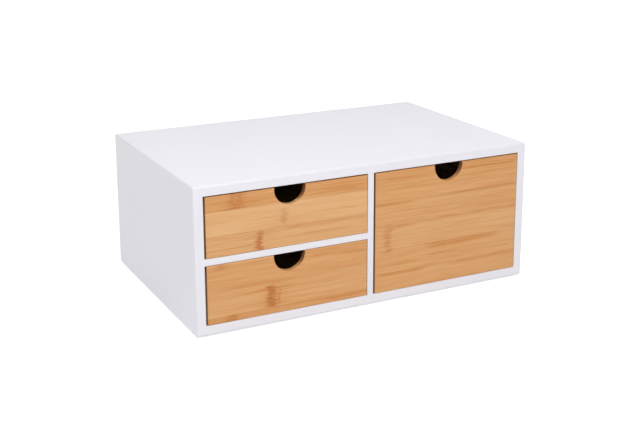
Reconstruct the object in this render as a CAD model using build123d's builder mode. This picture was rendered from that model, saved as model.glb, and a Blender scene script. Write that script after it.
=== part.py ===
from build123d import *
from dataclasses import dataclass
import os

# A desktop case with three push-in drawers: two low ones on the left and a tall one on the right.
# All sizes are in millimetres. X runs to the right as seen from the front, Y to the back and Z up.
# The origin is under the middle of the case, on the surface that its foot pads stand on.

# Case, measured over its boards
case_width = 335.0
case_depth = 215.0
case_height = 132.0
edge_round = 2.0  # rounding of every outer edge of the case
mouth_ease = 0.4  # bevel round the front of each drawer opening

# Boards of the case
outer_board = 9.0
partition = 6.0
back_board = 3.0

# Drawer openings that fix the places of the two partitions
left_opening_width = 155.5
lower_opening_height = 53.4

# Housed joints of the partitions
divider_tongue = 3.0  # into the top and bottom panels
shelf_tongue_left = 3.0  # into the left side panel
shelf_tongue_right = 2.0  # into the divider
housing_stop = 8.0  # the housings end this far behind the front edges
housing_fit = 0.05  # on each face of a tongue
housing_room = 0.2  # for glue, beyond a tongue's end

# Dowels that join the side panels to the top and bottom panels
dowel_diameter = 5.0
dowel_in_panel = 6.0
dowel_in_side = 14.0
dowel_fit = 0.05
dowel_room = 0.3
dowel_inset = 35.0  # first and last dowel of a joint, from the front and rear edges
dowel_rows = 2

# Back panel, in a rebate round the rear of the case
rebate_width = 5.0
back_recess = 0.6
back_fit = 0.25

# Foot pads
pad_diameter = 12.0
pad_height = 1.2
pad_inset = 16.0

# Wire fasteners, driven flush: T-headed brads in the drawers and staples round the back panel
brad_length = 15.0
brad_width = 1.25
brad_thickness = 1.05
brad_point = 1.2
brad_head_width = 1.9
brad_head_height = 0.8
staple_crown = 5.7
staple_leg = 10.0
staple_wire_width = 1.2
staple_wire_thickness = 0.6
staple_point = 0.8
fastener_fit = 0.05
fastener_room = 0.4

# Drawers: clearances in the opening. Each drawer is pushed in a little to the right of its middle.
left_gap = 1.5
right_gap = 0.5
upper_top_gap = 1.1
lower_top_gap = 0.4
large_top_gap = 1.0
running_gap = 0.3
closing_gap = 0.5

# Drawers: boards and joints
front_board = 6.0
front_lip = 2.5  # what the rebates leave of the front's thickness
front_ease = 0.4
side_board = 6.0
rear_board = 6.0
side_drop = 4.0  # from the top of the front to the top of the sides
rail_round = 0.8  # rounding of the top edges of the sides and the back
bottom_board = 3.0
groove_height = 4.0
groove_depth = 3.0
groove_fit = 0.1
groove_room = 0.3
notch_radius = 14.7
notch_drop = 1.5  # from the top of the front to the centre of the notch
upper_notch_offset = 1.0  # to the right of the front's middle, on the upper drawer only
notch_ease = 0.6

# Main planes of the case
front_y = -case_depth / 2
rear_y = case_depth / 2
inside_back_y = rear_y - back_recess - back_board
base_z = pad_height
floor_z = base_z + outer_board
ceiling_z = base_z + case_height - outer_board
left_x = outer_board - case_width / 2
right_x = case_width / 2 - outer_board
divider_left_x = left_x + left_opening_width
divider_right_x = divider_left_x + partition
shelf_low_z = floor_z + lower_opening_height
shelf_top_z = shelf_low_z + partition

os.makedirs("parts", exist_ok=True)


def across(y):
    """Upright plane that faces the front, so negative amounts extrude to the back."""
    return Plane.XZ.offset(-y)


def along(x):
    """Upright plane that faces right."""
    return Plane.YZ.offset(x)


def level(z):
    """Level plane that faces up."""
    return Plane.XY.offset(z)


def patch(left, right, bottom, top, mode=Mode.ADD):
    """A rectangle in the open sketch, given by its four sides."""
    with Locations(((left + right) / 2, (bottom + top) / 2)):
        Rectangle(right - left, top - bottom, mode=mode)


def spread(start, end, count):
    """The middles of equal lengths from start to end."""
    step = (end - start) / count
    return [start + step * (i + 0.5) for i in range(count)]


def save(piece, name):
    piece.part.label = name
    export_step(piece.part, f"parts/{name}.step")


@dataclass(frozen=True)
class Bay:
    """An opening of the case and the drawer that fills it."""

    name: str
    left: float
    right: float
    floor: float
    ceiling: float
    top_gap: float
    notch_offset: float  # from the middle of the front to the middle of its notch
    brads_up: int  # rows of brads in each corner of the drawer

    @property
    def box_left(self):
        return self.left + left_gap

    @property
    def box_right(self):
        return self.right - right_gap

    @property
    def notch_x(self):
        return (self.box_left + self.box_right) / 2 + self.notch_offset

    @property
    def inner_left(self):
        return self.box_left + side_board

    @property
    def inner_right(self):
        return self.box_right - side_board

    @property
    def base(self):
        return self.floor + running_gap

    @property
    def front_top(self):
        return self.ceiling - self.top_gap

    @property
    def side_top(self):
        return self.front_top - side_drop

    @property
    def groove_low(self):
        return self.base + groove_height

    @property
    def bottom_top(self):
        return self.groove_low + bottom_board

    @property
    def brad_levels(self):
        return spread(self.bottom_top + groove_fit, self.side_top, self.brads_up)


upper = Bay("upper_drawer", left_x, divider_left_x, shelf_top_z, ceiling_z, upper_top_gap, upper_notch_offset, 2)
lower = Bay("lower_drawer", left_x, divider_left_x, floor_z, shelf_low_z, lower_top_gap, 0.0, 2)
large = Bay("large_drawer", divider_right_x, right_x, floor_z, ceiling_z, large_top_gap, 0.0, 4)
bays = (upper, lower, large)

# Main planes of the drawers, the same for all three
lip_y = front_y + front_lip
front_back_y = front_y + front_board
drawer_end_y = inside_back_y - closing_gap
rear_front_y = drawer_end_y - rear_board
front_brad_y = (lip_y + front_back_y) / 2
rear_brad_y = (rear_front_y + drawer_end_y) / 2


# ---- Shapes that several boards are cut to ----

with BuildPart() as case_outline:
    with BuildSketch(level(base_z)):
        Rectangle(case_width, case_depth)
    extrude(amount=case_height)
    fillet(case_outline.edges(), radius=edge_round)

with BuildPart() as mouths:
    for bay in bays:
        with BuildSketch(across(front_y)):
            patch(bay.left - mouth_ease, bay.right + mouth_ease, bay.floor - mouth_ease, bay.ceiling + mouth_ease)
        extrude(amount=-mouth_ease, taper=45)

with BuildPart() as back_rebate:
    with BuildSketch(across(inside_back_y)):
        patch(left_x - rebate_width, right_x + rebate_width, floor_z - rebate_width, ceiling_z + rebate_width)
    extrude(amount=-(back_recess + back_board))


def brad_outline(fit, room):
    """A brad from the side, driven up from the origin: a T head, a shank and a point."""
    head = brad_head_width / 2 + fit
    shank = brad_width / 2 + fit
    tip = brad_length + room
    right = [
        (head, 0),
        (head, brad_head_height + fit),
        (shank, brad_head_height + fit),
        (shank, tip - brad_point),
    ]
    left = [(-x, z) for x, z in reversed(right)]
    return right + [(0, tip)] + left


def staple_outline(fit, room):
    """A staple from the side, driven up from the origin: a crown and two legs, pointed on the inside."""
    outer = staple_crown / 2 + fit
    inner = staple_crown / 2 - staple_wire_thickness - fit
    tip = staple_leg + room
    right = [
        (outer, 0),
        (outer, tip),
        (inner, tip - staple_point),
        (inner, staple_wire_thickness + fit),
    ]
    left = [(-x, z) for x, z in reversed(right)]
    return right + left


def fastener_group(outline, thickness, places):
    """One wire fastener at each place."""
    with BuildPart() as fastener:
        with BuildSketch(Plane.XZ):
            with BuildLine():
                Polyline(*outline, close=True)
            make_face()
        extrude(amount=thickness / 2, both=True)
    with BuildPart() as group:
        with Locations(*places):
            add(fastener.part)
    return group


def with_bores(outline, thickness, places):
    """The fasteners at these places, and the slightly larger bores that they sit in."""
    fasteners = fastener_group(outline(0, 0), thickness, places)
    bore_outline = outline(fastener_fit, fastener_room)
    bores = fastener_group(bore_outline, thickness + 2 * fastener_fit, places)
    return fasteners, bores


def dowel_group(fit=0.0, room=0.0):
    """All dowels of the four corner joints, upright. fit and room give their bores instead."""
    length = dowel_in_panel + dowel_in_side - 2 * dowel_room + 2 * room
    lowest_z = (floor_z - dowel_in_panel, ceiling_z - dowel_in_side)
    spacing = (case_depth - 2 * dowel_inset) / (dowel_rows - 1)
    with BuildPart() as dowels:
        for low_z in lowest_z:
            with BuildSketch(level(low_z + dowel_room - room)):
                with GridLocations(case_width - outer_board, spacing, 2, dowel_rows):
                    Circle(dowel_diameter / 2 + fit)
            extrude(amount=length)
    return dowels


def staple_places():
    """Staples of the back panel, along its rebate, down the divider and along the shelf."""
    strip = rebate_width / 2
    shelf_z = (shelf_low_z + shelf_top_z) / 2
    divider_x = (divider_left_x + divider_right_x) / 2
    level_spots = [(x, ceiling_z + strip) for bay in (upper, large) for x in spread(bay.left, bay.right, 2)]
    level_spots += [(x, floor_z - strip) for bay in (lower, large) for x in spread(bay.left, bay.right, 2)]
    level_spots += [(x, shelf_z) for x in spread(lower.left, lower.right, 2)]
    upright_spots = [(right_x + strip, z) for z in spread(large.floor, large.ceiling, 2)]
    for x in (left_x - strip, divider_x):
        upright_spots += [(x, (bay.floor + bay.ceiling) / 2) for bay in (upper, lower)]
    back_face_y = rear_y - back_recess
    forward = (0, -1, 0)
    places = [Plane(origin=(x, back_face_y, z), x_dir=(1, 0, 0), z_dir=forward) for x, z in level_spots]
    places += [Plane(origin=(x, back_face_y, z), x_dir=(0, 0, 1), z_dir=forward) for x, z in upright_spots]
    return places


staples, staple_bores = with_bores(staple_outline, staple_wire_width, staple_places())
dowel_bores = dowel_group(dowel_fit, dowel_room)


# ---- Case ----


def flat_panel(name, inner_z, outward):
    """The top or bottom panel. It runs over the ends of the side panels and holds the divider's tongue."""
    with BuildPart() as panel:
        with BuildSketch(level(inner_z)):
            Rectangle(case_width, case_depth)
        extrude(amount=outward * outer_board)
        add(case_outline.part, mode=Mode.INTERSECT)
        with BuildSketch(level(inner_z)):
            patch(
                divider_left_x - housing_fit,
                divider_right_x + housing_fit,
                front_y + housing_stop - housing_fit,
                inside_back_y,
            )
        extrude(amount=outward * (divider_tongue + housing_room), mode=Mode.SUBTRACT)
        for cut in (back_rebate, mouths, dowel_bores, staple_bores):
            add(cut.part, mode=Mode.SUBTRACT)
    save(panel, name)


def side_panel(name, inner_x, outward, holds_shelf):
    """A side panel, between the top and bottom panels. The left one holds the shelf's tongue."""
    with BuildPart() as panel:
        with BuildSketch(along(inner_x)):
            patch(front_y, rear_y, floor_z, ceiling_z)
        extrude(amount=outward * outer_board)
        add(case_outline.part, mode=Mode.INTERSECT)
        if holds_shelf:
            with BuildSketch(along(inner_x)):
                patch(
                    front_y + housing_stop - housing_fit,
                    inside_back_y,
                    shelf_low_z - housing_fit,
                    shelf_top_z + housing_fit,
                )
            extrude(amount=outward * (shelf_tongue_left + housing_room), mode=Mode.SUBTRACT)
        for cut in (back_rebate, mouths, dowel_bores, staple_bores):
            add(cut.part, mode=Mode.SUBTRACT)
    save(panel, name)


def centre_divider():
    """Stands between the bays. Its tongues are cut short at the front, so that no joint shows there."""
    with BuildPart() as divider:
        with BuildSketch(along(divider_left_x)):
            patch(front_y, inside_back_y, floor_z, ceiling_z)
            patch(front_y + housing_stop, inside_back_y, floor_z - divider_tongue, ceiling_z + divider_tongue)
        extrude(amount=partition)
        with BuildSketch(along(divider_left_x)):
            patch(
                front_y + housing_stop - housing_fit,
                inside_back_y,
                shelf_low_z - housing_fit,
                shelf_top_z + housing_fit,
            )
        extrude(amount=shelf_tongue_right + housing_room, mode=Mode.SUBTRACT)
        for cut in (mouths, staple_bores):
            add(cut.part, mode=Mode.SUBTRACT)
    save(divider, "centre_divider")


def middle_shelf():
    """Lies between the two low drawers, tongued into the left side panel and the divider."""
    with BuildPart() as shelf:
        with BuildSketch(level(shelf_low_z)):
            patch(left_x, divider_left_x, front_y, inside_back_y)
            patch(
                left_x - shelf_tongue_left,
                divider_left_x + shelf_tongue_right,
                front_y + housing_stop,
                inside_back_y,
            )
        extrude(amount=partition)
        for cut in (mouths, staple_bores):
            add(cut.part, mode=Mode.SUBTRACT)
    save(shelf, "middle_shelf")


def back_panel():
    """A thin board that lies in the rebate, against the rear edges of the partitions."""
    reach = rebate_width - back_fit
    with BuildPart() as panel:
        with BuildSketch(across(inside_back_y)):
            patch(left_x - reach, right_x + reach, floor_z - reach, ceiling_z + reach)
        extrude(amount=-back_board)
        add(staple_bores.part, mode=Mode.SUBTRACT)
    save(panel, "back_panel")


def foot_pads():
    """Round pads stuck under the four corners."""
    pad_x = case_width / 2 - pad_inset
    pad_y = case_depth / 2 - pad_inset
    for end, y in (("front", -pad_y), ("back", pad_y)):
        for side, x in (("left", -pad_x), ("right", pad_x)):
            with BuildPart() as pad:
                with BuildSketch(Plane.XY):
                    with Locations((x, y)):
                        Circle(pad_diameter / 2)
                extrude(amount=pad_height)
            save(pad, f"foot_pad_{end}_{side}")


# ---- Drawers ----


def brad_places(bay):
    """Brads through the sides into the front and the back, and up through the bottom into the back."""
    places = []
    for y in (front_brad_y, rear_brad_y):
        for z in bay.brad_levels:
            places.append(Plane(origin=(bay.box_left, y, z), x_dir=(0, 0, 1), z_dir=(1, 0, 0)))
            places.append(Plane(origin=(bay.box_right, y, z), x_dir=(0, 0, 1), z_dir=(-1, 0, 0)))
    for x in spread(bay.inner_left, bay.inner_right, 2):
        places.append(Plane(origin=(x, rear_brad_y, bay.groove_low), x_dir=(1, 0, 0), z_dir=(0, 0, 1)))
    return places


def drawer_front(bay, bores):
    """The bamboo front, with its round finger notch, end rebates for the sides and bottom groove."""
    with BuildPart() as front:
        with BuildSketch(across(front_y)):
            patch(bay.box_left, bay.box_right, bay.base, bay.front_top)
            with Locations((bay.notch_x, bay.front_top - notch_drop)):
                Circle(notch_radius, mode=Mode.SUBTRACT)
        extrude(amount=-front_board)
        front_edges = front.faces().sort_by(Axis.Y)[0].edges()
        chamfer(front_edges, length=front_ease)
        rear_notch_edge = front.faces().sort_by(Axis.Y)[-1].edges().filter_by(GeomType.CIRCLE)
        chamfer(rear_notch_edge, length=notch_ease)
        with BuildSketch(across(lip_y)):
            patch(bay.box_left, bay.inner_left, bay.base, bay.front_top)
            patch(bay.inner_right, bay.box_right, bay.base, bay.front_top)
        extrude(amount=-front_board, mode=Mode.SUBTRACT)
        with BuildSketch(across(front_back_y)):
            patch(
                bay.inner_left,
                bay.inner_right,
                bay.groove_low,
                bay.bottom_top + groove_fit,
            )
        extrude(amount=groove_depth, mode=Mode.SUBTRACT)
        add(bores.part, mode=Mode.SUBTRACT)
    save(front, f"{bay.name}_front")


def drawer_side(bay, side, outer_x, inward, bores):
    """A side, seated in the front's rebate, with a groove for the bottom along its whole inner face."""
    with BuildPart() as board:
        with BuildSketch(along(outer_x)):
            patch(lip_y, drawer_end_y, bay.base, bay.side_top)
        extrude(amount=inward * side_board)
        top_edges = board.edges().filter_by(Axis.Y).group_by(Axis.Z)[-1]
        fillet(top_edges, radius=rail_round)
        with BuildSketch(along(outer_x + inward * side_board)):
            patch(lip_y, drawer_end_y, bay.groove_low, bay.bottom_top + groove_fit)
        extrude(amount=-inward * groove_depth, mode=Mode.SUBTRACT)
        add(bores.part, mode=Mode.SUBTRACT)
    save(board, f"{bay.name}_{side}_side")


def drawer_back(bay, bores):
    """The back, between the sides, standing on the bottom."""
    with BuildPart() as back:
        with BuildSketch(across(rear_front_y)):
            patch(bay.inner_left, bay.inner_right, bay.bottom_top, bay.side_top)
        extrude(amount=-rear_board)
        top_edges = back.edges().filter_by(Axis.X).group_by(Axis.Z)[-1]
        fillet(top_edges, radius=rail_round)
        add(bores.part, mode=Mode.SUBTRACT)
    save(back, f"{bay.name}_back")


def drawer_bottom(bay, bores):
    """The bottom, slid forward in the grooves of the sides until it meets the front's groove."""
    reach = groove_depth - groove_room
    with BuildPart() as bottom:
        with BuildSketch(level(bay.groove_low)):
            patch(bay.inner_left - reach, bay.inner_right + reach, front_back_y, drawer_end_y)
            patch(bay.inner_left, bay.inner_right, front_back_y - reach, front_back_y)
        extrude(amount=bottom_board)
        add(bores.part, mode=Mode.SUBTRACT)
    save(bottom, f"{bay.name}_bottom")


def drawer(bay):
    brads, bores = with_bores(brad_outline, brad_thickness, brad_places(bay))
    drawer_front(bay, bores)
    drawer_side(bay, "left", bay.box_left, 1, bores)
    drawer_side(bay, "right", bay.box_right, -1, bores)
    drawer_back(bay, bores)
    drawer_bottom(bay, bores)
    save(brads, f"{bay.name}_brads")


flat_panel("top_panel", ceiling_z, 1)
flat_panel("bottom_panel", floor_z, -1)
side_panel("left_side_panel", left_x, -1, True)
side_panel("right_side_panel", right_x, 1, False)
centre_divider()
middle_shelf()
back_panel()
foot_pads()
save(dowel_group(), "corner_dowels")
save(staples, "back_panel_staples")
for bay in bays:
    drawer(bay)
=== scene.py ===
import math

import bpy
import numpy as np
from bpy.props import FloatProperty, FloatVectorProperty, IntProperty, PointerProperty
from mathutils import Matrix, Vector


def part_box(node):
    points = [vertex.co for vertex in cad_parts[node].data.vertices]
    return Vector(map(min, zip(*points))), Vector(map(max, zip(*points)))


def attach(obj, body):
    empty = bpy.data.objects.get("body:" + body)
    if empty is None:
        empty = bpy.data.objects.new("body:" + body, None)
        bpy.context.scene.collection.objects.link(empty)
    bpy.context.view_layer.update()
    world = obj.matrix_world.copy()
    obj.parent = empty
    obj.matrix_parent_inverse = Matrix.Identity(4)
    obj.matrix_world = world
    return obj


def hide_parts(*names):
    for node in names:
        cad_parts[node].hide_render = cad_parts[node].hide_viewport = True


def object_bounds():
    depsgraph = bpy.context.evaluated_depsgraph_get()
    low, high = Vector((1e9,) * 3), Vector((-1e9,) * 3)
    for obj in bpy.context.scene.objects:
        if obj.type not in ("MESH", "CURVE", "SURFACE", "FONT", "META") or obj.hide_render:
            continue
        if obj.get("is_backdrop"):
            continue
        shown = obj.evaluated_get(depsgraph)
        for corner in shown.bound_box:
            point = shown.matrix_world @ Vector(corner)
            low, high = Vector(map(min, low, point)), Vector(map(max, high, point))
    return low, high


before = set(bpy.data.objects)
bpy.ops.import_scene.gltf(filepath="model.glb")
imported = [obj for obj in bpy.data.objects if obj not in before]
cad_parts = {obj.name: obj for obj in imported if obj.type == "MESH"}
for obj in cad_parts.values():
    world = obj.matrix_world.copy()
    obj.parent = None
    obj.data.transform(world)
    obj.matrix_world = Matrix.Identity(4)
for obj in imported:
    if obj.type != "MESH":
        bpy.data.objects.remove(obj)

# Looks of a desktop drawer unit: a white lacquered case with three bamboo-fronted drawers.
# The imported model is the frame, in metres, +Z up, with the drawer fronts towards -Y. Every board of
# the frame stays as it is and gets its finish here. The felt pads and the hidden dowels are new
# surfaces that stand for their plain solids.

bl_info = {
    "name": "Desktop drawer unit",
    "version": (1, 0, 0),
    "blender": (4, 5, 0),
    "location": "3D View > Sidebar > Drawers",
    "description": "Finishes, felt pads, dowels, lamps and camera of a small drawer unit",
    "category": "Object",
}

MM = 0.001
DRAWERS = ("upper_drawer", "lower_drawer", "large_drawer")
CASE_BOARDS = (
    "top_panel",
    "bottom_panel",
    "left_side_panel",
    "right_side_panel",
    "centre_divider",
    "middle_shelf",
)
FOOT_PADS = (
    "foot_pad_front_left",
    "foot_pad_front_right",
    "foot_pad_back_left",
    "foot_pad_back_right",
)


# ----------------------------------------------------------------------------------- colours


def tint(red, green, blue):
    """A scene-linear colour from the three 8-bit numbers of a screen colour."""
    screen = np.array((red, green, blue)) / 255
    low, high = screen / 12.92, ((screen + 0.055) / 1.055) ** 2.4
    return tuple(float(c) for c in np.where(screen <= 0.04045, low, high))


def shade(colour, share):
    """The colour with its three numbers multiplied by share."""
    return tuple(c * share for c in colour)


# ---------------------------------------------------------------------------------- settings


def colour_property(name, description, screen_colour):
    """A colour setting, given as 8-bit screen numbers."""
    return FloatVectorProperty(name=name, description=description, subtype="COLOR", size=3,
                               min=0, max=1, default=tint(*screen_colour))


def length_property(name, description, millimetres):
    """A length setting, given in millimetres and kept in metres."""
    return FloatProperty(name=name, description=description, subtype="DISTANCE", unit="LENGTH",
                         min=0, precision=5, default=millimetres * MM)


def share_property(name, description, share):
    """A setting from 0 to 1."""
    return FloatProperty(name=name, description=description, subtype="FACTOR",
                         min=0, max=1, default=share)


def angle_property(name, description, degrees):
    """An angle, given in degrees and kept in radians."""
    return FloatProperty(name=name, description=description, subtype="ANGLE",
                         default=math.radians(degrees))


def place_property(name, description, place):
    """A place in the frame, in metres."""
    return FloatVectorProperty(name=name, description=description, subtype="TRANSLATION",
                               unit="LENGTH", size=3, default=place)


def power_property(name, description, watts):
    """The power of a lamp."""
    return FloatProperty(name=name, description=description, unit="POWER", min=0, default=watts)


class LacquerSettings(bpy.types.PropertyGroup):
    """The white lacquer of the case and the paint of its back."""

    colour: colour_property("Lacquer", "Satin white of the case", (239, 239, 246))
    edge_colour: colour_property("Worn edge", "Lacquer that has thinned on the arrises", (224, 222, 222))
    roughness: share_property("Roughness", "Mean roughness of the satin lacquer", 0.38)
    peel: length_property("Orange peel", "Distance between the ripples that spraying leaves", 2.4)
    wear: length_property("Edge wear", "How far from an arris the lacquer looks thinner", 1.3)
    paint: colour_property("Back paint", "Matt white roller paint on the back board", (232, 231, 233))
    hardboard: colour_property("Hardboard", "Bare inner face of the back board", (140, 104, 74))


class BambooSettings(bpy.types.PropertyGroup):
    """The glued bamboo strips of the drawer fronts, under satin varnish."""

    strip: length_property("Strip width", "Width of one glued strip", 22.1)
    light: colour_property("Light fibre", "Palest fibre of a strip", (227, 178, 122))
    dark: colour_property("Dark fibre", "Darkest fibre of a strip", (205, 135, 66))
    joint: colour_property("Stem joint", "Darker band where the stem had a joint", (188, 109, 42))
    bundle: colour_property("Fibre bundle", "Fine brown bundles among the fibres", (158, 98, 50))
    end: colour_property("End grain", "Cut fibres, at the sides and in the notch", (104, 58, 30))
    roughness: share_property("Roughness", "Mean roughness of the satin varnish", 0.44)


class DrawerSettings(bpy.types.PropertyGroup):
    """The plain wood of the drawer boxes and the plywood of their bottoms."""

    pale: colour_property("Early wood", "Pale part of a growth ring", (231, 203, 163))
    deep: colour_property("Late wood", "Deep part of a growth ring", (205, 162, 115))
    ring: length_property("Ring width", "Mean width of a growth ring", 4.5)
    veneer: colour_property("Plywood face", "Outer veneer of the drawer bottoms", (224, 193, 150))
    core: colour_property("Plywood core", "Darker middle layer seen on the cut edge", (170, 128, 86))
    ply: length_property("Ply", "Thickness of one layer of the drawer bottoms", 1.0)


class FittingSettings(bpy.types.PropertyGroup):
    """Felt pads, beech dowels and steel wire."""

    felt: colour_property("Felt", "Pressed light grey felt", (205, 204, 201))
    rim: length_property("Pad rim", "Radius to which a pad's cut rim has worn", 0.5)
    fuzz: length_property("Pad fuzz", "How far stray fibres make the rim uneven", 0.12)
    beech: colour_property("Beech", "Plain beech of the dowels", (214, 172, 124))
    dowel: length_property("Dowel diameter", "Diameter over the ridges of a dowel", 5.0)
    dowel_long: length_property("Dowel length", "Length of a dowel", 19.4)
    flutes: IntProperty(name="Flutes", description="Glue grooves round a dowel",
                        min=6, max=40, default=14)
    flute: length_property("Flute depth", "Depth of a glue groove", 0.25)
    steel: colour_property("Steel", "Bright drawn wire", (196, 197, 201))


class StageSettings(bpy.types.PropertyGroup):
    """Camera, lamps and floor."""

    azimuth: angle_property("Azimuth", "Direction from which the camera looks, round +Z", -26.813)
    elevation: angle_property("Elevation", "Height of the camera above the horizon", 13.933)
    roll: angle_property("Roll", "Turn of the camera about its view", -0.163)
    place: place_property("Camera", "Where the camera stands", (-0.4760, -0.9492, 0.3918))
    lens: FloatProperty(name="Lens", description="Focal length for a 36 mm wide picture",
                        unit="CAMERA", default=63.94)
    shift: FloatProperty(name="Shift", description="Lens shift that keeps the uprights upright",
                         default=-0.12)
    key_power: power_property("Key", "Power of the large lamp above the front", 5.5)
    key_place: place_property("Key lamp", "Where the large lamp hangs", (-0.20, -0.62, 0.92))
    key_size: length_property("Key size", "Side of the large square lamp", 700)
    fill_power: power_property("Fill", "Power of the soft lamp on the left", 3.0)
    fill_place: place_property("Fill lamp", "Where the soft lamp stands", (-2.1, -1.0, 1.1))
    fill_size: length_property("Fill size", "Side of the soft square lamp", 1500)
    rear_power: power_property("Rear", "Power of the soft lamp behind, on the right", 12.0)
    rear_place: place_property("Rear lamp", "Where the rear lamp stands", (1.9, 1.5, 0.6))
    rear_size: length_property("Rear size", "Side of the rear square lamp", 1000)
    ambient: FloatProperty(name="Ambient", description="Light that comes from all round",
                           min=0, default=0.52)
    floor: length_property("Floor", "Radius of the pale floor", 6000)
    floor_colour: FloatVectorProperty(name="Floor colour", description="Pale colour of the floor",
                                      subtype="COLOR", size=3, min=0, max=1,
                                      default=(0.86, 0.86, 0.865))
    near_glow: share_property(
        "Near glow",
        "What is added to the lit floor round the unit where it is seen directly, so that only a soft "
        "shadow is left on the white",
        0.58,
    )
    far_glow: share_property("Far glow", "The same, away from the unit, where the lamps fade", 0.92)
    glow_start: length_property("Near radius", "How far the near glow reaches from the middle", 260)
    glow_end: length_property("Far radius", "Where the far glow begins", 1000)


class DrawerUnitSettings(bpy.types.PropertyGroup):
    """All settings of the unit."""

    lacquer: PointerProperty(type=LacquerSettings)
    bamboo: PointerProperty(type=BambooSettings)
    drawer: PointerProperty(type=DrawerSettings)
    fitting: PointerProperty(type=FittingSettings)
    stage: PointerProperty(type=StageSettings)


# ------------------------------------------------------------------------------ shader maths


def socket_name(word):
    """The name of a shader's socket, from a keyword."""
    return word.replace("_", " ").title().replace("Ior", "IOR")


class Signal:
    """A socket's value that Python operators work on. Each operator adds its Math node."""

    def __init__(self, graph, socket):
        self.graph, self.socket = graph, socket

    def __add__(self, other):
        return self.graph.maths("ADD", self, other)

    def __sub__(self, other):
        return self.graph.maths("SUBTRACT", self, other)

    def __rsub__(self, other):
        return self.graph.maths("SUBTRACT", other, self)

    def __mul__(self, other):
        return self.graph.maths("MULTIPLY", self, other)

    def __truediv__(self, other):
        return self.graph.maths("DIVIDE", self, other)

    def __abs__(self):
        return self.graph.maths("ABSOLUTE", self)

    __radd__ = __add__
    __rmul__ = __mul__


class Graph:
    """The nodes of a material or of the world."""

    def __init__(self, tree):
        self.tree = tree

    def node(self, kind, settings=None, inputs=None, output=0):
        """Adds a node. Settings are set first, then each socket gets a value or a link. It gives the
        signal of one output, or with output=None the node."""
        node = self.tree.nodes.new("ShaderNode" + kind)
        for name, value in (settings or {}).items():
            if name == "stops":
                self.set_stops(node.color_ramp.elements, value)
            elif name == "interpolation":
                node.color_ramp.interpolation = value
            else:
                setattr(node, name, value)
        for name, value in (inputs or {}).items():
            self.feed(node.inputs[name], value)
        return node if output is None else Signal(self, node.outputs[output])

    def set_stops(self, elements, stops):
        """Gives a ramp its grey stops, each a position and a value."""
        while len(elements) < len(stops):
            elements.new(1)
        for element, (position, value) in zip(elements, stops):
            element.position = position
            element.color = (value, value, value, 1)

    def feed(self, socket, value):
        """Links a signal to a socket, or sets a number, a vector or a colour on it."""
        if isinstance(value, Signal):
            self.tree.links.new(value.socket, socket)
        elif hasattr(value, "__len__") and len(socket.default_value) == 4:
            socket.default_value = (*value, 1)
        else:
            socket.default_value = value

    def maths(self, operation, *values):
        """A Math node."""
        return self.node("Math", {"operation": operation}, dict(enumerate(values)))

    def least(self, first, *others):
        """The least of several signals."""
        for value in others:
            first = self.maths("MINIMUM", first, value)
        return first

    def most(self, first, *others):
        """The greatest of several signals."""
        for value in others:
            first = self.maths("MAXIMUM", first, value)
        return first

    def seen_directly(self):
        """1 for what the camera sees itself, in a mirror or through glass, else 0."""
        path = self.node("LightPath", output=None)
        rays = ("Is Camera Ray", "Is Glossy Ray", "Is Transmission Ray")
        return self.most(*(Signal(self, path.outputs[name]) for name in rays))


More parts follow.
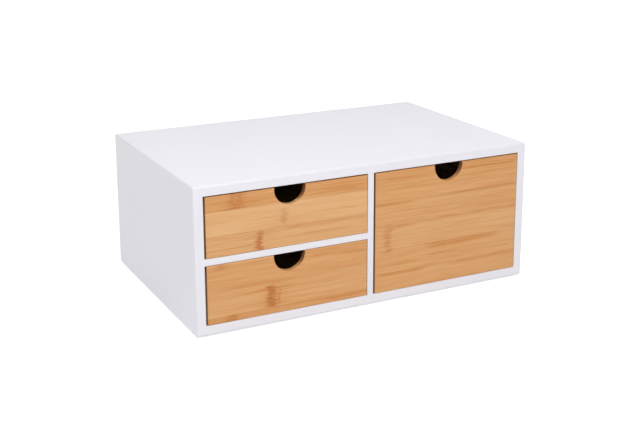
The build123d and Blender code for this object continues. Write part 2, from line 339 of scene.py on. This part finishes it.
class Finish(Graph):
    """A material in the making. Its patterns lie in the solid, in millimetres of the frame."""

    def __init__(self, name, **constants):
        self.material = bpy.data.materials.new(name)
        self.material.use_nodes = True
        super().__init__(self.material.node_tree)
        self.shader = self.tree.nodes["Principled BSDF"]
        for word, value in constants.items():
            self.shader.inputs[socket_name(word)].default_value = value
        metres = self.node("TexCoord", output="Object")
        self.point = self.vector("SCALE", metres, Scale=1 / MM)
        axes = self.node("SeparateXYZ", inputs={"Vector": self.point}, output=None)
        self.x, self.y, self.z = (Signal(self, axes.outputs[i]) for i in range(3))

    def vector(self, operation, *values, output=0, **named):
        """A Vector Math node."""
        inputs = {**dict(enumerate(values)), **named}
        return self.node("VectorMath", {"operation": operation}, inputs, output)

    def stretched(self, along, across, up, offset=None):
        """The point with its axes divided by lengths in millimetres, and each moved by its own share
        of an offset signal."""
        scaled = self.vector("MULTIPLY", self.point, (1 / along, 1 / across, 1 / up))
        if offset is None:
            return scaled
        moved = self.node("CombineXYZ", inputs={0: offset, 1: offset * 0.37, 2: offset * 0.61})
        return self.vector("ADD", scaled, moved)

    def even(self, length):
        """The point divided by one length in millimetres."""
        return self.stretched(length, length, length)

    def noise(self, place, detail=2.0, roughness=0.5, distortion=0.0):
        """Smooth noise from 0 to 1, about one bump to each unit of place."""
        inputs = {
            "Vector": place,
            "Scale": 1.0,
            "Detail": detail,
            "Roughness": roughness,
            "Distortion": distortion,
        }
        return self.node("TexNoise", inputs=inputs)

    def cells(self, place):
        """Distance to the nearest of random points, about one point to each unit of place."""
        return self.node("TexVoronoi", inputs={"Vector": place, "Scale": 1.0, "Randomness": 1.0})

    def ease(self, value, low, high):
        """0 below low and 1 above high, with a smooth step between them."""
        inputs = {"Value": value, "From Min": low, "From Max": high}
        return self.node("MapRange", {"interpolation_type": "SMOOTHSTEP"}, inputs)

    def within(self, value, low, high, soft):
        """1 between low and high and 0 outside, with soft ends."""
        above = self.ease(value, low - soft, low + soft)
        return above * (1 - self.ease(value, high - soft, high + soft))

    def mix(self, share, first, second):
        """The first colour at share 0 and the second at share 1."""
        settings = {"data_type": "RGBA", "clamp_factor": True}
        return self.node("Mix", settings, {0: share, 6: first, 7: second}, output=2)

    def surface(self, colour, roughness=None, height=None, relief=0.0, **more):
        """Feeds the shader. relief is the height in millimetres that a height of 1 stands for."""
        self.feed(self.shader.inputs["Base Color"], colour)
        if roughness is not None:
            self.feed(self.shader.inputs["Roughness"], roughness)
        if height is not None:
            inputs = {"Strength": 1.0, "Distance": relief * MM, "Height": height}
            self.feed(self.shader.inputs["Normal"], self.node("Bump", inputs=inputs))
        for word, value in more.items():
            self.feed(self.shader.inputs[socket_name(word)], value)
        return self.material


def wear_finish(material, *nodes):
    """Puts a material on CAD nodes."""
    for name in nodes:
        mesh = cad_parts[name].data
        mesh.materials.clear()
        mesh.materials.append(material)


# ------------------------------------------------------------------------------ case finishes


def nearest_edge(f, low, high):
    """Distance in millimetres to the nearest edge of a box: the middle one of the three least
    distances to its pairs of faces."""
    gaps = []
    for value, a, b in zip((f.x, f.y, f.z), low, high):
        middle, half = (a + b) / 2 / MM, (b - a) / 2 / MM
        gaps.append(half - abs(value - middle))
    a, b, c = gaps
    return a + b + c - f.least(a, b, c) - f.most(a, b, c)


def white_lacquer(settings, low, high):
    """Satin white lacquer: faint clouds in the white, spray ripple, and thinner colour on the edges
    of the case, whose corners are low and high."""
    f = Finish("white_lacquer", ior=1.5)
    clouds = f.noise(f.even(70), detail=3)
    edge = 1 - f.ease(nearest_edge(f, low, high), 0.15, settings.wear / MM)
    scuffs = f.ease(f.noise(f.even(5), detail=4, roughness=0.6), 0.5, 0.75)
    worn = edge * (0.35 + 0.5 * scuffs)
    white = f.mix(clouds, settings.colour, shade(settings.colour, 0.975))
    smears = f.noise(f.even(28), detail=4, roughness=0.65)
    ripple = f.noise(f.even(settings.peel / MM), detail=1.5)
    grit = f.noise(f.even(0.5), detail=1)
    return f.surface(
        f.mix(worn, white, settings.edge_colour),
        roughness=settings.roughness - 0.05 + 0.1 * smears + 0.05 * edge,
        height=ripple + 0.12 * grit,
        relief=0.012,
    )


def back_paint(settings, outer_half):
    """Matt roller paint outside, and bare brown hardboard on the inner half of the thickness.
    outer_half is the Y in millimetres at which the paint begins."""
    f = Finish("back_paint")
    stipple = f.noise(f.even(1.6), detail=3)
    clouds = f.noise(f.stretched(60, 60, 25), detail=3)
    paint = f.mix(clouds, settings.paint, shade(settings.paint, 0.95))
    fibres = f.noise(f.stretched(2.5, 2.5, 0.8), detail=5, roughness=0.7)
    flecks = f.ease(f.noise(f.even(1.2), detail=3), 0.52, 0.7)
    felted = f.mix(fibres, shade(settings.hardboard, 1.35), settings.hardboard)
    board = f.mix(flecks * 0.5, felted, shade(settings.hardboard, 0.6))
    outside = f.ease(f.y, outer_half - 0.1, outer_half + 0.1)
    return f.surface(
        f.mix(outside, board, paint),
        roughness=0.62 + 0.12 * stipple,
        height=stipple + 0.3 * fibres,
        relief=0.03,
    )


# ------------------------------------------------------------------------------------ bamboo

# Marks given one by one, in millimetres of the frame. seam is the height of one seam between
# strips, and the tones go up from the lowest strip. A stem joint is (x, lowest z, highest z, softness
# of its lower and upper ends, half width, strength), and a streak is (first x, last x, z, half height,
# strength).
FRONT_MARKS = {
    "upper_drawer": {
        "seam": 87.8,
        "tones": (0.30, 0.13, 0.66),
        "joints": (
            (-129.0, 109.6, 124.0, 0.5, 8.5, 0.55),
            (-108.3, 70.0, 86.5, 1.0, 3.6, 0.80),
            (-85.0, 91.0, 103.5, 2.5, 4.2, 0.34),
            (-112.0, 70.0, 74.0, 1.5, 4.0, 0.35),
        ),
        "streaks": (
            (-50.0, -13.0, 115.2, 3.4, 0.22),
            (-83.0, -2.0, 85.9, 2.6, 0.30),
            (-156.0, -111.0, 76.0, 0.7, 0.75),
            (-156.0, -120.0, 110.6, 0.9, 0.30),
            (-90.0, -20.0, 78.0, 2.0, 0.15),
        ),
    },
    "lower_drawer": {
        "seam": 38.4,
        "tones": (0.66, 0.40, 0.50),
        "joints": (
            (-97.8, 16.3, 36.5, 1.0, 5.4, 0.95),
            (-90.6, 17.5, 33.0, 2.0, 1.3, 0.45),
            (-134.5, 9.0, 15.8, 0.6, 6.0, 0.62),
            (-143.5, 58.5, 64.0, 1.2, 7.0, 0.40),
        ),
        "streaks": (
            (-66.0, -6.0, 56.3, 3.2, 0.30),
            (-150.0, -72.0, 40.3, 1.5, 0.30),
            (-126.0, -78.0, 33.4, 0.7, 0.55),
            (-47.0, -6.0, 14.4, 1.4, 0.30),
        ),
    },
    "large_drawer": {
        "seam": 49.7,
        "tones": (0.46, 0.47, 0.34, 0.49, 0.52, 0.66),
        "joints": ((18.2, 46.5, 73.0, 2.5, 5.0, 0.36),),
        "streaks": (
            (87.0, 160.0, 94.9, 1.3, 0.50),
            (4.0, 45.0, 92.8, 1.6, 0.42),
            (16.0, 44.0, 115.8, 1.5, 0.36),
            (102.0, 158.0, 116.6, 1.6, 0.32),
            (70.0, 121.0, 73.4, 1.5, 0.42),
            (126.0, 160.0, 73.2, 2.0, 0.36),
            (30.0, 41.0, 71.2, 1.6, 0.60),
            (64.0, 138.0, 47.4, 3.6, 0.38),
            (62.0, 92.0, 38.6, 0.8, 0.45),
            (126.0, 156.0, 34.7, 0.8, 0.45),
            (9.0, 58.0, 26.9, 1.6, 0.45),
            (92.0, 160.0, 27.0, 1.2, 0.30),
        ),
    },
}


def strip_tones(f, marks, strip, bottom, top):
    """A tone for each glued strip, as hard steps from the front's bottom to its top."""
    first = math.floor((bottom - marks["seam"]) / strip)
    stops = []
    for i, tone in enumerate(marks["tones"]):
        height = marks["seam"] + (first + i) * strip
        stops.append((max(0.0, (height - bottom) / (top - bottom)), tone))
    place = f.node("MapRange", inputs={"Value": f.z, "From Min": bottom, "From Max": top})
    return f.node("ValToRGB", {"stops": stops, "interpolation": "CONSTANT"}, {"Fac": place})


def with_streaks(f, depth, marks, ragged, threads):
    """The fibre's depth with the streaks added: lines along X that wander by about a millimetre, with
    frayed ends and ragged edges. Fine threads break them up."""
    wander = (f.noise(f.stretched(60, 30, 30)) - 0.5) * 2.4
    frayed_x = f.x + ragged * 44
    wavy_z = f.z + wander * 0.5
    broken = 0.45 + 1.1 * threads
    for x0, x1, height, half, strength in marks["streaks"]:
        span = f.within(frayed_x, x0, x1, 9.0)
        away = abs(wavy_z + ragged * half * 1.4 - height)
        line = 1 - f.ease(away, half * 0.15, half * 1.25)
        depth = depth + strength * span * line * broken
    return depth


def stem_joints(f, marks, shift, ragged, threads):
    """How strongly a stem joint shows: a mottled upright band with thready tails to both sides."""
    bend = f.noise(f.stretched(90, 30, 4.6, shift), detail=1.5) - 0.5
    scars = f.ease(f.noise(f.stretched(4.5, 1.5, 1.1, shift), detail=3, roughness=0.6), 0.32, 0.68)
    columns = f.noise(f.stretched(1.3, 6.0, 9.0, shift), detail=2)
    bent_x = f.x + bend * 6.0 + ragged * 8.0
    ragged_z = f.z + ragged * 2.0
    joint = None
    for x, z0, z1, soft, half, strength in marks["joints"]:
        away = abs(bent_x - x)
        core = 1 - f.ease(away, half * 0.15, half * 1.3)
        tails = (1 - f.ease(away, half * 0.6, half + 12.0)) * threads * 0.30
        band = (core + tails) * f.within(ragged_z, z0, z1, soft) * strength
        joint = band if joint is None else joint + band
    return joint * (0.22 + 0.85 * scars + 0.50 * columns)


def bamboo(name, settings, marks, low, high):
    """Glued bamboo strips that run along X. The fibre is noise in the solid, drawn out along X, so cut
    ends and the notch show the same bundles end on. Each strip shifts the noise, so fibres stop at a
    seam. Stem joints and streaks lie where marks says."""
    f = Finish(name, specular_ior_level=0.5)
    strip = settings.strip / MM
    across = (f.z - marks["seam"]) / strip
    number = f.maths("FLOOR", across)
    inside = across - number
    shift = number * 7.3
    seam = 1 - f.ease((0.5 - abs(inside - 0.5)) * strip, 0.05, 0.4)
    tone = strip_tones(f, marks, strip, low.z / MM, high.z / MM)

    broad = f.noise(f.stretched(95, 9, 6.0, shift), detail=2, distortion=0.3)
    bands = f.noise(f.stretched(60, 2.2, 1.9, shift), detail=2.5, roughness=0.55)
    fibres = f.noise(f.stretched(30, 0.42, 0.42, shift), detail=3, roughness=0.6)
    bundles = 1 - f.ease(f.cells(f.stretched(38, 0.85, 0.85, shift)), 0.10, 0.34)
    dense = f.ease(broad, 0.40, 0.62)
    ragged = f.noise(f.stretched(16, 1.3, 0.75), detail=3, roughness=0.65) - 0.5
    threads = f.ease(f.noise(f.stretched(24, 0.7, 0.6, shift), detail=2), 0.30, 0.70)

    depth = tone + 0.50 * (broad - 0.5) + 0.95 * (bands - 0.5) + 0.55 * (fibres - 0.5)
    depth = with_streaks(f, depth, marks, ragged, threads)
    colour = f.mix(depth, settings.light, settings.dark)
    joint = stem_joints(f, marks, shift, ragged, threads)
    colour = f.mix(joint, colour, settings.joint)
    colour = f.mix(bundles * (0.10 + 0.22 * dense), colour, settings.bundle)
    colour = f.mix(seam * 0.30, colour, settings.bundle)

    normal = f.node("TexCoord", output="Normal")
    facing_x = f.node("SeparateXYZ", inputs={"Vector": normal})
    cut = f.ease(abs(facing_x), 0.45, 1.0)
    colour = f.mix(cut * (0.66 + 0.3 * fibres), colour, settings.end)
    return f.surface(
        colour,
        roughness=settings.roughness - 0.05 + 0.12 * fibres + 0.06 * bundles + 0.1 * cut,
        height=0.5 * fibres + 0.35 * bands - 0.35 * bundles - 0.5 * seam - 0.4 * joint,
        relief=0.035,
    )


# ---------------------------------------------------------------------------- drawer finishes


def board_wood(name, settings, grain):
    """Sawn wood of the drawer boxes: growth rings about a far heart that runs along the grain, bent by
    noise, with pores drawn out the same way. grain is "x" or "y"."""
    f = Finish(name)
    lengths = (260.0, 30.0, 30.0) if grain == "x" else (30.0, 260.0, 30.0)
    pores_at = (14.0, 0.35, 0.35) if grain == "x" else (0.35, 14.0, 0.35)
    bend = f.noise(f.stretched(*lengths), detail=2)
    side = f.y if grain == "x" else f.x
    flat = side * 0.35 + 60.0
    deep = f.z * 0.8 + 45.0
    radius = f.maths("SQRT", flat * flat + deep * deep) + 26.0 * bend
    turn = radius / (settings.ring / MM)
    saw = turn - f.maths("FLOOR", turn)
    late = f.ease(saw, 0.35, 0.92) * (1 - f.ease(saw, 0.93, 1.0))
    pores = f.noise(f.stretched(*pores_at), detail=3, roughness=0.65)
    flecks = f.ease(pores, 0.56, 0.74)
    clouds = f.noise(f.stretched(*(v * 1.4 for v in lengths)), detail=2)
    share = 0.15 + 0.5 * late + 0.35 * (pores - 0.5) + 0.35 * (clouds - 0.5)
    colour = f.mix(share, settings.pale, settings.deep)
    return f.surface(
        f.mix(flecks * 0.30, colour, shade(settings.deep, 0.6)),
        roughness=0.60 + 0.14 * pores - 0.05 * late,
        height=pores + 0.3 * late - 0.5 * flecks,
        relief=0.04,
    )


def plywood(name, settings, base):
    """Three-ply board: a wide wavy figure on the veneer, and a darker core between base + 1 ply and
    base + 2 plies on the cut edges."""
    f = Finish(name)
    warp = f.noise(f.stretched(90, 220, 90), detail=2)
    figure = f.noise(f.stretched(16, 120, 16, warp * 3.0), detail=3, roughness=0.5, distortion=0.6)
    lines = f.maths("SINE", figure * 62.0) * 0.5 + 0.5
    pores = f.noise(f.stretched(0.4, 9.0, 0.4), detail=3, roughness=0.6)
    share = 0.35 * lines + 0.6 * (pores - 0.5) + 0.5 * (warp - 0.5) + 0.2
    face = f.mix(share, settings.veneer, shade(settings.veneer, 0.80))
    core_fibres = f.noise(f.stretched(9.0, 0.4, 0.3), detail=3)
    core = f.mix(core_fibres, settings.core, shade(settings.core, 0.65))
    low, ply = base / MM, settings.ply / MM
    middle = f.within(f.z, low + ply, low + 2 * ply, 0.06)
    return f.surface(
        f.mix(middle, face, core),
        roughness=0.62 + 0.12 * pores,
        height=pores + 0.4 * lines,
        relief=0.03,
    )


# --------------------------------------------------------------------------- fitting finishes


def drawn_wire(settings):
    """Bright steel wire with fine draw lines and small dull spots."""
    f = Finish("drawn_wire", metallic=1.0)
    lines = f.noise(f.stretched(3.0, 0.25, 3.0), detail=2)
    spots = f.ease(f.noise(f.even(1.1), detail=3), 0.55, 0.75)
    return f.surface(
        f.mix(spots * 0.6 + lines * 0.25, settings.steel, shade(settings.steel, 0.72)),
        roughness=0.26 + 0.12 * lines + 0.25 * spots,
        height=lines,
        relief=0.006,
    )


def pressed_felt(settings):
    """Grey felt: short matted fibres in two directions. Its colour is lighter where the fibres stand up
    and darker in the hollows between them: the felt's own mottling together with painted shade in the
    hollows.
    """
    f = Finish("pressed_felt", sheen_weight=0.35, sheen_roughness=0.6, specular_ior_level=0.2)
    one_way = f.noise(f.stretched(0.22, 1.3, 0.6), detail=3, roughness=0.7, distortion=1.2)
    other_way = f.noise(f.stretched(1.3, 0.22, 0.6), detail=3, roughness=0.7, distortion=1.2)
    mat = f.most(one_way, other_way)
    specks = f.ease(f.noise(f.even(0.5), detail=2), 0.62, 0.72)
    # painted shade: the felt darkens to 62 percent in the low parts of the same fibre height that makes
    # the bump
    colour = f.mix(f.ease(mat, 0.35, 0.75), shade(settings.felt, 0.62), settings.felt)
    return f.surface(
        f.mix(specks * 0.4, colour, shade(settings.felt, 0.4)),
        roughness=0.90 + 0.08 * mat,
        height=mat,
        relief=0.12,
    )


def beech(settings):
    """Beech turned along Z: fine grain with the short dark flecks of its rays."""
    f = Finish("beech")
    grain = f.noise(f.stretched(0.6, 0.6, 14.0), detail=3, roughness=0.6)
    rays = 1 - f.ease(f.cells(f.stretched(0.5, 0.5, 2.4)), 0.12, 0.3)
    colour = f.mix(grain * 0.8, settings.beech, shade(settings.beech, 0.72))
    return f.surface(
        f.mix(rays * 0.45, colour, shade(settings.beech, 0.45)),
        roughness=0.58 + 0.15 * grain,
        height=grain - 0.4 * rays,
        relief=0.04,
    )


# -------------------------------------------------------------------------------- new pieces


def closed_sweep(radius, height, angle):
    """Vertices and faces of a closed surface about Z. radius and height are arrays of one row for each
    step from the lower pole to the upper one and one column for each angle: the point is
    (radius cos angle, radius sin angle, height). Each pole is a single vertex in the middle."""
    rows, columns = radius.shape
    rings = np.stack((radius * np.cos(angle), radius * np.sin(angle), height), axis=-1)
    poles = np.array(((0, 0, height[0].mean()), (0, 0, height[-1].mean())))
    points = np.concatenate((rings.reshape(-1, 3), poles))
    start = np.arange(columns)
    after = np.roll(start, -1)
    row = np.arange(rows - 1)[:, None] * columns
    quads = np.stack((row + start, row + after, row + after + columns, row + start + columns), axis=-1)
    last = (rows - 1) * columns
    low_pole, high_pole = rows * columns, rows * columns + 1
    low_fan = np.stack((np.full(columns, low_pole), after, start), axis=-1)
    high_fan = np.stack((np.full(columns, high_pole), last + start, last + after), axis=-1)
    return points, quads.reshape(-1, 4).tolist() + low_fan.tolist() + high_fan.tolist()


def add_piece(name, parts, material, body, slot, *replaced):
    """Makes one mesh of several (vertices, faces) and lets it stand for CAD nodes on their body."""
    points, faces = [], []
    for part_points, part_faces in parts:
        start = sum(len(p) for p in points)
        faces += [[start + i for i in face] for face in part_faces]
        points.append(part_points)
    mesh = bpy.data.meshes.new(name)
    mesh.from_pydata(np.concatenate(points).tolist(), [], faces)
    mesh.polygons.foreach_set("use_smooth", np.ones(len(faces), bool))
    mesh.materials.append(material)
    mesh.update()
    piece = bpy.data.objects.new(name, mesh)
    bpy.context.scene.collection.objects.link(piece)
    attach(piece, body)
    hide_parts(*replaced)


def felt_disc(low, high, settings, seed):
    """A pressed felt disc between two corners. Going from the middle of the underside round the rim to
    the middle of the upper side, the outline is a quarter circle at each arris, drawn in by a sum of
    sines of the angle with random phases, which stands for stray fibres."""
    columns, rim_rows, face_rows = 96, 10, 8
    coarsest, finest, sharpness = 5, 40, 6
    radius, thick = (high.x - low.x) / 2, high.z - low.z
    rim = min(settings.rim, thick * 0.45)
    angle = np.linspace(0, 2 * np.pi, columns, endpoint=False)[None, :]
    turn = np.linspace(0, np.pi / 2, rim_rows)[:, None]
    inner = np.linspace(0.12, 0.94, face_rows)[:, None] * (radius - rim)
    rim_r, rim_z = radius - rim + rim * np.sin(turn), rim - rim * np.cos(turn)
    r = np.concatenate((inner, rim_r, rim_r[::-1], inner[::-1]))
    z = np.concatenate((inner * 0, rim_z, thick - rim_z[::-1], thick + inner[::-1] * 0))
    waves = np.arange(coarsest, finest + 1)[:, None]
    phases = np.random.default_rng(seed).uniform(0, 2 * np.pi, (len(waves), 1))
    fuzz = (np.sin(waves * angle + phases) / np.sqrt(waves)).sum(axis=0, keepdims=True)
    fuzz = (fuzz - fuzz.max()) / (fuzz.max() - fuzz.min()) * settings.fuzz
    near_rim = (r / radius) ** sharpness
    points, faces = closed_sweep(r + fuzz * near_rim, z + 0 * angle, angle)
    return points + np.array(((low.x + high.x) / 2, (low.y + high.y) / 2, low.z)), faces


def fluted_dowel(centre_x, centre_y, low_z, settings):
    """A dowel along Z with glue grooves that turn slightly: the radius is lessened by the flute depth
    times the fourth power of a cosine of the angle, and both ends are bevelled to 80 percent."""
    radius, long = settings.dowel / 2, settings.dowel_long
    bevel, end_ring, twist = 0.4 * radius, 0.35 * radius, 0.35
    end_share = 0.8
    columns, middle_rows = settings.flutes * 8, 9
    angle = np.linspace(0, 2 * np.pi, columns, endpoint=False)[None, :]
    low_rows = np.array((0, 0, 0.5 * bevel, bevel))
    middle = np.linspace(2 * bevel, long - 2 * bevel, middle_rows)
    z = np.concatenate((low_rows, middle, long - low_rows[::-1]))[:, None]
    end = np.clip(np.minimum(z, long - z) / bevel, 0, 1)
    body = radius * (end_share + (1 - end_share) * np.sqrt(end))
    body[0] = body[-1] = end_ring
    groove = np.cos(settings.flutes * (angle + twist * z / long) / 2) ** 4 * settings.flute
    points, faces = closed_sweep(body - groove * end, z + 0 * angle, angle)
    return points + np.array((centre_x, centre_y, low_z)), faces


# ------------------------------------------------------------------------------------- stage


def make_floor(settings):
    """A flat disc under the pads: radius times (cos, sin) of the angle. It is a lit surface, which keeps
    the shadow, with a glow added where it is seen directly, which makes the rest white. The glow grows
    with the distance from the middle, because the lamps light the outer floor less."""
    sides = 64
    angle = np.linspace(0, 2 * np.pi, sides, endpoint=False)
    rim = np.stack((np.cos(angle), np.sin(angle), 0 * angle), axis=-1) * settings.floor
    mesh = bpy.data.meshes.new("floor")
    mesh.from_pydata(rim.tolist(), [], [list(range(sides))])
    floor = bpy.data.objects.new("floor", mesh)
    bpy.context.scene.collection.objects.link(floor)
    floor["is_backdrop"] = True
    f = Finish("floor_white", roughness=0.9, specular_ior_level=0.0, emission_strength=1.0)
    distance = f.vector("LENGTH", f.point, output=1)
    outer = f.ease(distance, settings.glow_start / MM, settings.glow_end / MM)
    glow = settings.near_glow + (settings.far_glow - settings.near_glow) * outer
    mesh.materials.append(f.surface(settings.floor_colour, emission_color=f.seen_directly() * glow))


def make_world(settings):
    """White where it is seen, and a plain even light elsewhere."""
    world = bpy.data.worlds.new("studio")
    world.use_nodes = True
    bpy.context.scene.world = world
    sky = Graph(world.node_tree)
    background = sky.tree.nodes["Background"]
    sky.feed(background.inputs["Color"], (1, 1, 1))
    strength = sky.node("MapRange", inputs={"Value": sky.seen_directly(), "To Min": settings.ambient})
    sky.feed(background.inputs["Strength"], strength)


def add_lamp(name, place, size, power, gloss=True):
    """A square area lamp that faces the middle of the unit and isn't seen itself. Without gloss it
    leaves no highlight either."""
    lamp = bpy.data.lights.new(name, "AREA")
    lamp.size = size
    lamp.energy = power
    item = bpy.data.objects.new(name, lamp)
    low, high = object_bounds()
    item.visible_camera = False
    item.visible_glossy = gloss
    item.location = place
    item.rotation_euler = ((low + high) / 2 - Vector(place)).to_track_quat("-Z", "Y").to_euler()
    bpy.context.scene.collection.objects.link(item)


def add_camera(settings):
    """The camera looks along minus its back direction, which azimuth and elevation give. Its right side
    is level before the roll is added."""
    a, e, roll = settings.azimuth, settings.elevation, settings.roll
    back = Vector((math.sin(a) * math.cos(e), -math.cos(a) * math.cos(e), math.sin(e)))
    right = Vector((math.cos(a), math.sin(a), 0))
    up = back.cross(right)
    turned = right * math.cos(roll) + up * math.sin(roll)
    upright = up * math.cos(roll) - right * math.sin(roll)
    camera = bpy.data.objects.new("camera", bpy.data.cameras.new("camera"))
    camera.data.lens = settings.lens
    camera.data.shift_y = settings.shift
    camera.location = settings.place
    camera.rotation_euler = Matrix((turned, upright, back)).transposed().to_euler()
    bpy.context.scene.collection.objects.link(camera)
    bpy.context.scene.camera = camera


# --------------------------------------------------------------------------------- operators


class FinishCase(bpy.types.Operator):
    """Gives the boards of the case their white lacquer"""

    bl_idname = "drawers.finish_case"
    bl_label = "Case lacquer"

    def execute(self, context):
        settings = context.scene.drawer_unit.lacquer
        low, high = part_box("top_panel")
        low.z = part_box("bottom_panel")[0].z
        wear_finish(white_lacquer(settings, low, high), *CASE_BOARDS)
        return {"FINISHED"}


class FinishBack(bpy.types.Operator):
    """Paints the outside of the back board"""

    bl_idname = "drawers.finish_back"
    bl_label = "Back board"

    def execute(self, context):
        settings = context.scene.drawer_unit.lacquer
        low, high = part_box("back_panel")
        wear_finish(back_paint(settings, (low.y + high.y) / 2 / MM), "back_panel")
        return {"FINISHED"}


class FinishFronts(bpy.types.Operator):
    """Gives each drawer front its own bamboo strips"""

    bl_idname = "drawers.finish_fronts"
    bl_label = "Bamboo fronts"

    def execute(self, context):
        settings = context.scene.drawer_unit.bamboo
        for drawer in DRAWERS:
            node = drawer + "_front"
            strips = bamboo(drawer + "_bamboo", settings, FRONT_MARKS[drawer], *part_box(node))
            wear_finish(strips, node)
        return {"FINISHED"}


class FinishBoxes(bpy.types.Operator):
    """Gives the sides and backs of the drawer boxes their wood"""

    bl_idname = "drawers.finish_boxes"
    bl_label = "Drawer boards"

    def execute(self, context):
        settings = context.scene.drawer_unit.drawer
        sides = [f"{drawer}_{side}_side" for drawer in DRAWERS for side in ("left", "right")]
        backs = [drawer + "_back" for drawer in DRAWERS]
        wear_finish(board_wood("side_wood", settings, "y"), *sides)
        wear_finish(board_wood("back_wood", settings, "x"), *backs)
        return {"FINISHED"}


class FinishBottoms(bpy.types.Operator):
    """Gives each drawer bottom its plywood"""

    bl_idname = "drawers.finish_bottoms"
    bl_label = "Drawer bottoms"

    def execute(self, context):
        settings = context.scene.drawer_unit.drawer
        for drawer in DRAWERS:
            node = drawer + "_bottom"
            wear_finish(plywood(drawer + "_plywood", settings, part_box(node)[0].z), node)
        return {"FINISHED"}


class FinishWire(bpy.types.Operator):
    """Gives the staples and brads their steel"""

    bl_idname = "drawers.finish_wire"
    bl_label = "Staples and brads"

    def execute(self, context):
        wire = drawn_wire(context.scene.drawer_unit.fitting)
        wear_finish(wire, "back_panel_staples", *(drawer + "_brads" for drawer in DRAWERS))
        return {"FINISHED"}


class MakePads(bpy.types.Operator):
    """Makes the four felt pads under the case"""

    bl_idname = "drawers.make_pads"
    bl_label = "Felt pads"

    def execute(self, context):
        settings = context.scene.drawer_unit.fitting
        felt = pressed_felt(settings)
        for seed, node in enumerate(FOOT_PADS):
            disc = felt_disc(*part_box(node), settings, seed)
            add_piece(node.replace("foot_pad", "felt_pad"), [disc], felt, "cabinet", "felt_pad", node)
        return {"FINISHED"}


class MakeDowels(bpy.types.Operator):
    """Makes the fluted dowels that are hidden in the corner joints"""

    bl_idname = "drawers.make_dowels"
    bl_label = "Corner dowels"

    def execute(self, context):
        settings = context.scene.drawer_unit.fitting
        low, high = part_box("corner_dowels")
        radius = settings.dowel / 2
        places = [
            (x, y, z)
            for x in (low.x + radius, high.x - radius)
            for y in (low.y + radius, high.y - radius)
            for z in (low.z, high.z - settings.dowel_long)
        ]
        dowels = [fluted_dowel(*place, settings) for place in places]
        add_piece("fluted_dowels", dowels, beech(settings), "cabinet", "beech_dowel", "corner_dowels")
        return {"FINISHED"}


class SetStage(bpy.types.Operator):
    """Sets the white floor, the soft lamps and the camera"""

    bl_idname = "drawers.set_stage"
    bl_label = "Stage"

    def execute(self, context):
        stage = context.scene.drawer_unit.stage
        make_floor(stage)
        make_world(stage)
        add_lamp("key_lamp", stage.key_place, stage.key_size, stage.key_power)
        add_lamp("fill_lamp", stage.fill_place, stage.fill_size, stage.fill_power)
        add_lamp("rear_lamp", stage.rear_place, stage.rear_size, stage.rear_power, gloss=False)
        add_camera(stage)
        context.scene.view_settings.view_transform = "Standard"
        return {"FINISHED"}


class DrawerUnitPanel(bpy.types.Panel):
    """Lists the steps and settings of the unit"""

    bl_idname = "VIEW3D_PT_drawer_unit"
    bl_label = "Desktop drawer unit"
    bl_space_type = "VIEW_3D"
    bl_region_type = "UI"
    bl_category = "Drawers"

    def draw(self, context):
        for step in STEPS:
            self.layout.operator(step.bl_idname)
        for name in DrawerUnitSettings.__annotations__:
            group = getattr(context.scene.drawer_unit, name)
            box = self.layout.box()
            for setting in group.__annotations__:
                box.prop(group, setting)


STEPS = (
    FinishCase,
    FinishBack,
    FinishFronts,
    FinishBoxes,
    FinishBottoms,
    FinishWire,
    MakePads,
    MakeDowels,
    SetStage,
)
GROUPS = (
    LacquerSettings,
    BambooSettings,
    DrawerSettings,
    FittingSettings,
    StageSettings,
    DrawerUnitSettings,
)


def register():
    for item in (*GROUPS, *STEPS, DrawerUnitPanel):
        bpy.utils.register_class(item)
    bpy.types.Scene.drawer_unit = PointerProperty(type=DrawerUnitSettings)


def unregister():
    del bpy.types.Scene.drawer_unit
    for item in reversed((*GROUPS, *STEPS, DrawerUnitPanel)):
        bpy.utils.unregister_class(item)


def main():
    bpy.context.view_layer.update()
    register()
    for step in STEPS:
        group, name = step.bl_idname.split(".")
        getattr(getattr(bpy.ops, group), name)()


if __name__ == "__main__":
    main()
